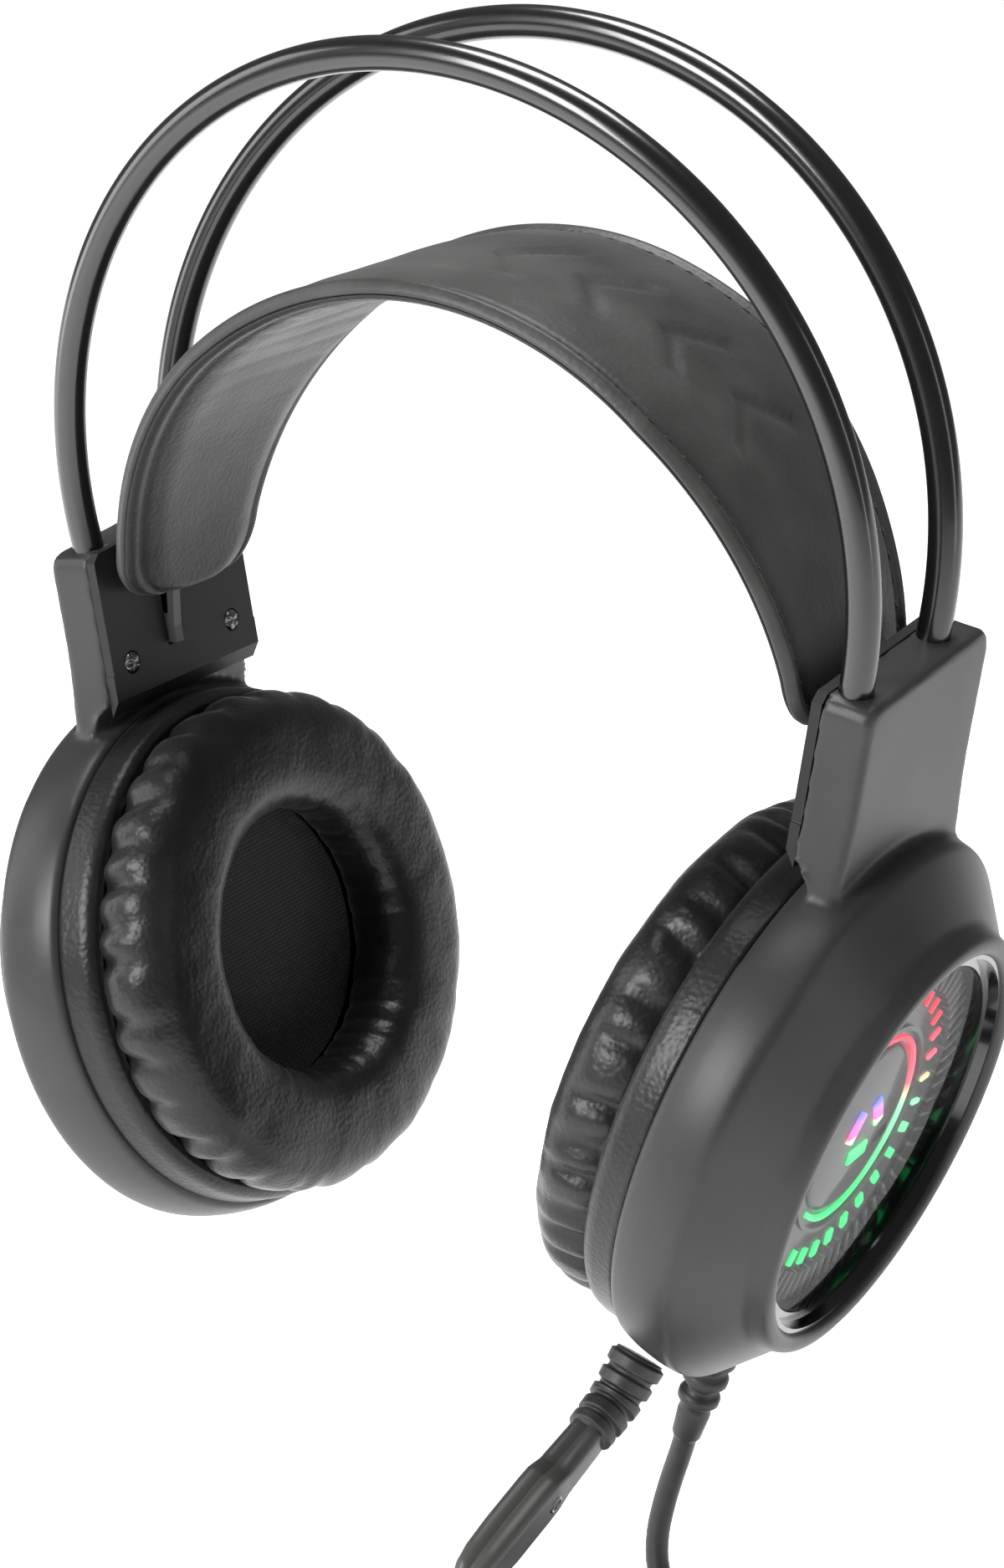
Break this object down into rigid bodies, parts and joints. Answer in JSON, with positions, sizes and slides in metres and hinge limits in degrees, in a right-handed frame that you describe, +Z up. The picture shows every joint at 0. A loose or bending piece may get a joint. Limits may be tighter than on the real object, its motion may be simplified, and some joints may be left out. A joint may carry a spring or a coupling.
{
  "type": "gaming headset",
  "caption": "Over-ear gaming headset with a twin-wire band, floating padded strap, lit ear cups, bendable microphone and a coiled cord.",
  "frame": {"origin": "midway between the two ear cushions, on the line through the ears, where the wearer's head is", "axes": "+X towards the wearer's left (microphone side), -Y to the front, +Z up the head"},
  "size_m": [0.18, 0.1268, 0.2911],
  "materials": {
    "band_wire": "satin black coated steel wire",
    "cable_jacket": "matt black PVC jacket",
    "leatherette_top": "dark grey leatherette, light sheen",
    "spring_plastic": "black sheet plastic",
    "leatherette": "soft black leatherette",
    "slider_plastic": "grey acetal",
    "elastic": "woven elastic",
    "shell_plastic": "satin dark grey moulded plastic",
    "inner_plastic": "matt black moulded plastic",
    "steel": "zinc plated steel",
    "gloss_black": "gloss black moulded plastic",
    "light_guide": "lit clear light guide",
    "emblem_plastic": "smoked grey plastic with lit bars",
    "clear_cover": "clear glossy acrylic",
    "circuit_board": "green circuit board",
    "led": "white light emitting diode body",
    "diaphragm_film": "amber film",
    "speaker_fabric": "black acoustic cloth",
    "rubber": "matt black soft rubber",
    "mic_metal": "aluminium can",
    "tie_strap": "black hook and loop tape",
    "plug_plastic": "matt black overmoulding",
    "plug_metal": "nickel plated steel",
    "plug_tongue": "white contact carrier"
  },
  "bodies": {
    "headset": {"front_band": "band_wire", "rear_band": "band_wire", "crossover_cable": "cable_jacket", "strap_elastic_left": "elastic", "strap_elastic_right": "elastic", "housing_left": "shell_plastic", "housing_right": "shell_plastic", "arm_cover_left": "inner_plastic", "arm_cover_right": "inner_plastic", "band_set_screws": "steel", "arm_screws": "steel", "cup_screws": "steel", "light_bezel_left": "gloss_black", "light_bezel_right": "gloss_black", "spoke_disc_left": "gloss_black", "spoke_disc_right": "gloss_black", "light_ring_left": "light_guide", "light_ring_right": "light_guide", "emblem_left": "emblem_plastic", "emblem_right": "emblem_plastic", "light_cover_left": "clear_cover", "light_cover_right": "clear_cover", "led_board_left": "circuit_board", "led_board_right": "circuit_board", "leds_left": "led", "leds_right": "led", "baffle_left": "inner_plastic", "baffle_right": "inner_plastic", "driver_frame_left": "inner_plastic", "driver_frame_right": "inner_plastic", "driver_magnet_left": "steel", "driver_magnet_right": "steel", "diaphragm_left": "diaphragm_film", "diaphragm_right": "diaphragm_film", "speaker_cloth_left": "speaker_fabric", "speaker_cloth_right": "speaker_fabric", "cushion_ring_left": "inner_plastic", "cushion_ring_right": "inner_plastic", "ear_cushion_left": "leatherette", "ear_cushion_right": "leatherette", "control_board": "circuit_board", "mic_neck_root": "rubber", "cord_gland": "rubber", "cord_drop": "cable_jacket", "cord_coil": "cable_jacket", "cord_tie": "tie_strap", "cord_tail": "cable_jacket", "usb_plug_body": "plug_plastic", "usb_plug_shell": "plug_metal", "usb_plug_tongue": "plug_tongue"},
    "strap": {"strap_cover": "leatherette_top", "strap_core": "spring_plastic", "strap_pad": "leatherette", "slider_left": "slider_plastic", "slider_right": "slider_plastic"},
    "mic": {"mic_neck_ball": "rubber", "mic_boom": "shell_plastic", "mic_boom_cover": "shell_plastic", "mic_capsule": "mic_metal"}
  },
  "joints": [
    {"name": "strap_lift", "type": "slide", "parent": "headset", "child": "strap", "axis": [0, 0, 1], "range_m": [0, 0.013], "stiffness_N_per_m": 60, "springref_m": -0.006, "deforming": ["strap_elastic_left", "strap_elastic_right"]},
    {"name": "mic_bend", "type": "hinge", "parent": "headset", "child": "mic", "pos_m": [0.04586, -0.03413, -0.05262], "axis": [0.9613, 0, -0.2756], "range_deg": [-25, 30]}
  ]
}
